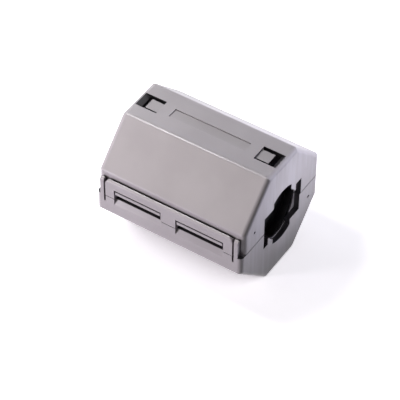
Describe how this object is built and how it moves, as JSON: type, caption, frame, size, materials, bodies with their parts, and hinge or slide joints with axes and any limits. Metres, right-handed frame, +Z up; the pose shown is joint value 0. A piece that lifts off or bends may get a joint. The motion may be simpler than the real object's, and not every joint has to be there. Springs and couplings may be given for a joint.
{
  "type": "clip on ferrite bead",
  "caption": "Octagonal hinged snap case holding a split ferrite core that clips round a cable to suppress interference.",
  "frame": {"origin": "on the cable axis, midway along the case, in the plane where the halves meet", "axes": "+X along the cable, -Y towards the latch, +Y towards the hinge, +Z up through the upper half"},
  "size_m": [0.0404, 0.0347, 0.0332],
  "materials": {
    "case": "satin moulded",
    "core": "sintered, ground joint faces"
  },
  "bodies": {
    "lower": {"lower_case": "case", "lower_core": "core", "hinge_strap_left": "case", "hinge_strap_right": "case"},
    "upper": {"upper_case": "case", "upper_core": "core"},
    "latch": {"latch_flap": "case"}
  },
  "joints": [
    {"name": "case_hinge", "type": "hinge", "parent": "lower", "child": "upper", "pos_m": [0, 0.01665, 0], "axis": [-1, 0, 0], "range_deg": [0, 178], "deforming": ["hinge_strap_left", "hinge_strap_right"]},
    {"name": "latch_flex", "type": "hinge", "parent": "lower", "child": "latch", "pos_m": [0, -0.01702, 0.00015], "axis": [1, 0, 0], "range_deg": [0, 24], "stiffness_Nm_per_rad": 0.05}
  ]
}
